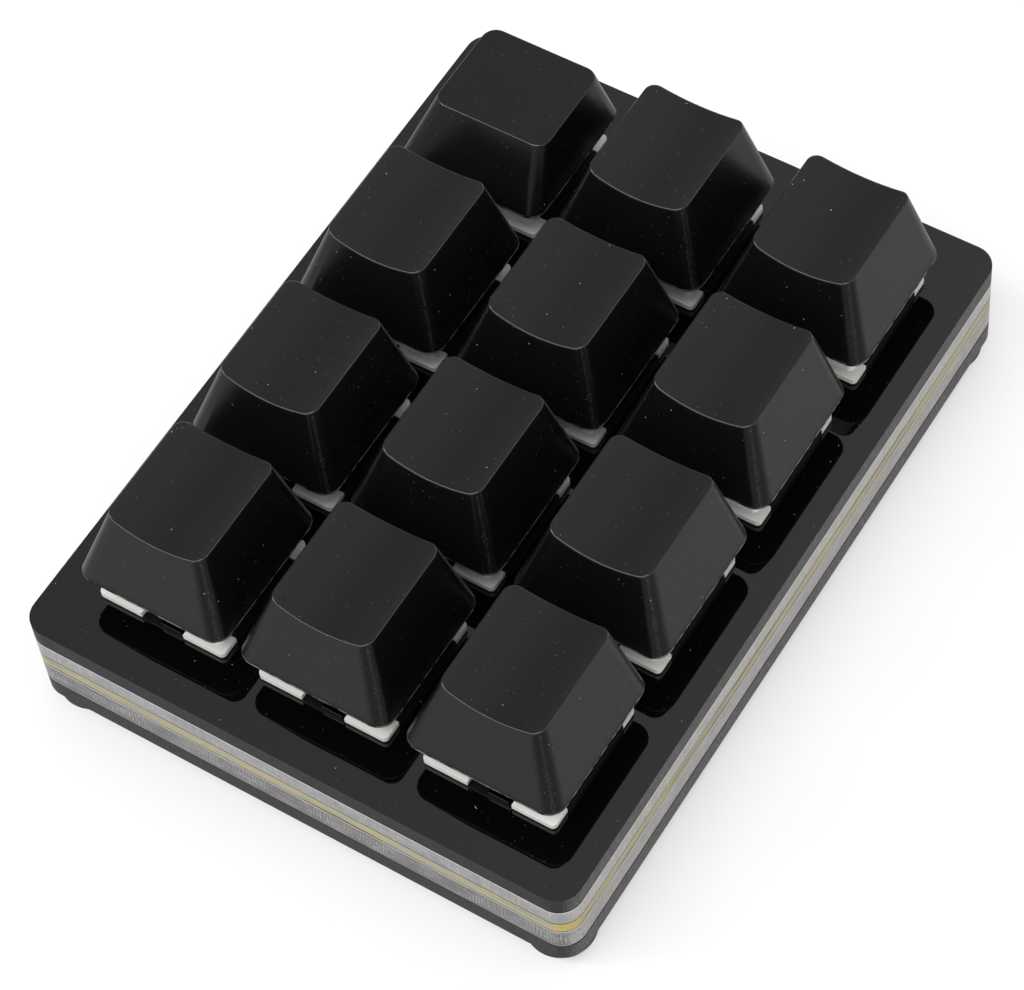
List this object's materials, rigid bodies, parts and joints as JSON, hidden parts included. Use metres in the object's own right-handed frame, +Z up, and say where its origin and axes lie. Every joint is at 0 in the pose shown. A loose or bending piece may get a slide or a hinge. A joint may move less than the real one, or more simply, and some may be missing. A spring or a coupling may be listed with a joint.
{
  "type": "macro keypad",
  "caption": "Desk macro keypad: tall dished black keycaps on mechanical switches over a glossy black plate, in a layered acrylic case on round rubber feet.",
  "frame": {"origin": "on the desk, under the middle of the case: the middle of the bounding box's bottom face", "axes": "+X to the right along the short front edge, +Y to the back along the long side, +Z up, the way the keys stand"},
  "size_m": [0.0662, 0.0898, 0.0288],
  "materials": {
    "keycap_plastic": "satin black moulded plastic with a very fine grain",
    "stem_plastic": "satin moulded plastic",
    "spring_steel": "bare spring wire",
    "switch_white_plastic": "milky white moulded plastic",
    "switch_black_plastic": "black moulded plastic",
    "black_acrylic": "polished black sheet with cut edges",
    "clear_acrylic": "clear sheet with frosted cut edges",
    "board_laminate": "glass-fibre laminate, its cut edge yellowish",
    "foot_rubber": "soft black rubber",
    "screw_steel": "plated steel",
    "contact_copper": "bare copper alloy",
    "socket_steel": "tinned steel",
    "socket_plastic": "black moulded plastic",
    "chip_resin": "black moulded resin",
    "capacitor_ceramic": "tan ceramic"
  },
  "bodies": {
    "case": {"top_plate": "black_acrylic", "upper_clear_spacer": "clear_acrylic", "circuit_board": "board_laminate", "lower_clear_spacer": "clear_acrylic", "bottom_plate": "black_acrylic", "rubber_feet": "foot_rubber", "case_screws": "screw_steel", "case_nuts": "screw_steel", "switch_fixed_contacts": "contact_copper", "switch_moving_contacts": "contact_copper", "usb_socket_shell": "socket_steel", "usb_socket_insert": "socket_plastic", "controller_chip": "chip_resin", "key_diodes": "chip_resin", "board_capacitors": "capacitor_ceramic", "board_resistors": "chip_resin", "switch_top_housings_row1": "switch_white_plastic", "switch_bottom_housings_row1": "switch_black_plastic", "switch_top_housings_row2": "switch_white_plastic", "switch_bottom_housings_row2": "switch_black_plastic", "switch_top_housings_row3": "switch_white_plastic", "switch_bottom_housings_row3": "switch_black_plastic", "switch_top_housings_row4": "switch_white_plastic", "switch_bottom_housings_row4": "switch_black_plastic", "spring_row1_col1": "spring_steel", "spring_row1_col2": "spring_steel", "spring_row1_col3": "spring_steel", "spring_row2_col1": "spring_steel", "spring_row2_col2": "spring_steel", "spring_row2_col3": "spring_steel", "spring_row3_col1": "spring_steel", "spring_row3_col2": "spring_steel", "spring_row3_col3": "spring_steel", "spring_row4_col1": "spring_steel", "spring_row4_col2": "spring_steel", "spring_row4_col3": "spring_steel"},
    "key_row1_col1": {"keycap_row1_col1": "keycap_plastic", "stem_row1_col1": "stem_plastic"},
    "key_row1_col2": {"keycap_row1_col2": "keycap_plastic", "stem_row1_col2": "stem_plastic"},
    "key_row1_col3": {"keycap_row1_col3": "keycap_plastic", "stem_row1_col3": "stem_plastic"},
    "key_row2_col1": {"keycap_row2_col1": "keycap_plastic", "stem_row2_col1": "stem_plastic"},
    "key_row2_col2": {"keycap_row2_col2": "keycap_plastic", "stem_row2_col2": "stem_plastic"},
    "key_row2_col3": {"keycap_row2_col3": "keycap_plastic", "stem_row2_col3": "stem_plastic"},
    "key_row3_col1": {"keycap_row3_col1": "keycap_plastic", "stem_row3_col1": "stem_plastic"},
    "key_row3_col2": {"keycap_row3_col2": "keycap_plastic", "stem_row3_col2": "stem_plastic"},
    "key_row3_col3": {"keycap_row3_col3": "keycap_plastic", "stem_row3_col3": "stem_plastic"},
    "key_row4_col1": {"keycap_row4_col1": "keycap_plastic", "stem_row4_col1": "stem_plastic"},
    "key_row4_col2": {"keycap_row4_col2": "keycap_plastic", "stem_row4_col2": "stem_plastic"},
    "key_row4_col3": {"keycap_row4_col3": "keycap_plastic", "stem_row4_col3": "stem_plastic"}
  },
  "joints": [
    {"name": "press_row1_col1", "type": "slide", "parent": "case", "child": "key_row1_col1", "axis": [0, 0, -1], "range_m": [0, 0.004], "stiffness_N_per_m": 75, "springref_m": -0.004, "deforming": ["spring_row1_col1"]},
    {"name": "press_row1_col2", "type": "slide", "parent": "case", "child": "key_row1_col2", "axis": [0, 0, -1], "range_m": [0, 0.004], "stiffness_N_per_m": 75, "springref_m": -0.004, "deforming": ["spring_row1_col2"]},
    {"name": "press_row1_col3", "type": "slide", "parent": "case", "child": "key_row1_col3", "axis": [0, 0, -1], "range_m": [0, 0.004], "stiffness_N_per_m": 75, "springref_m": -0.004, "deforming": ["spring_row1_col3"]},
    {"name": "press_row2_col1", "type": "slide", "parent": "case", "child": "key_row2_col1", "axis": [0, 0, -1], "range_m": [0, 0.004], "stiffness_N_per_m": 75, "springref_m": -0.004, "deforming": ["spring_row2_col1"]},
    {"name": "press_row2_col2", "type": "slide", "parent": "case", "child": "key_row2_col2", "axis": [0, 0, -1], "range_m": [0, 0.004], "stiffness_N_per_m": 75, "springref_m": -0.004, "deforming": ["spring_row2_col2"]},
    {"name": "press_row2_col3", "type": "slide", "parent": "case", "child": "key_row2_col3", "axis": [0, 0, -1], "range_m": [0, 0.004], "stiffness_N_per_m": 75, "springref_m": -0.004, "deforming": ["spring_row2_col3"]},
    {"name": "press_row3_col1", "type": "slide", "parent": "case", "child": "key_row3_col1", "axis": [0, 0, -1], "range_m": [0, 0.004], "stiffness_N_per_m": 75, "springref_m": -0.004, "deforming": ["spring_row3_col1"]},
    {"name": "press_row3_col2", "type": "slide", "parent": "case", "child": "key_row3_col2", "axis": [0, 0, -1], "range_m": [0, 0.004], "stiffness_N_per_m": 75, "springref_m": -0.004, "deforming": ["spring_row3_col2"]},
    {"name": "press_row3_col3", "type": "slide", "parent": "case", "child": "key_row3_col3", "axis": [0, 0, -1], "range_m": [0, 0.004], "stiffness_N_per_m": 75, "springref_m": -0.004, "deforming": ["spring_row3_col3"]},
    {"name": "press_row4_col1", "type": "slide", "parent": "case", "child": "key_row4_col1", "axis": [0, 0, -1], "range_m": [0, 0.004], "stiffness_N_per_m": 75, "springref_m": -0.004, "deforming": ["spring_row4_col1"]},
    {"name": "press_row4_col2", "type": "slide", "parent": "case", "child": "key_row4_col2", "axis": [0, 0, -1], "range_m": [0, 0.004], "stiffness_N_per_m": 75, "springref_m": -0.004, "deforming": ["spring_row4_col2"]},
    {"name": "press_row4_col3", "type": "slide", "parent": "case", "child": "key_row4_col3", "axis": [0, 0, -1], "range_m": [0, 0.004], "stiffness_N_per_m": 75, "springref_m": -0.004, "deforming": ["spring_row4_col3"]}
  ]
}
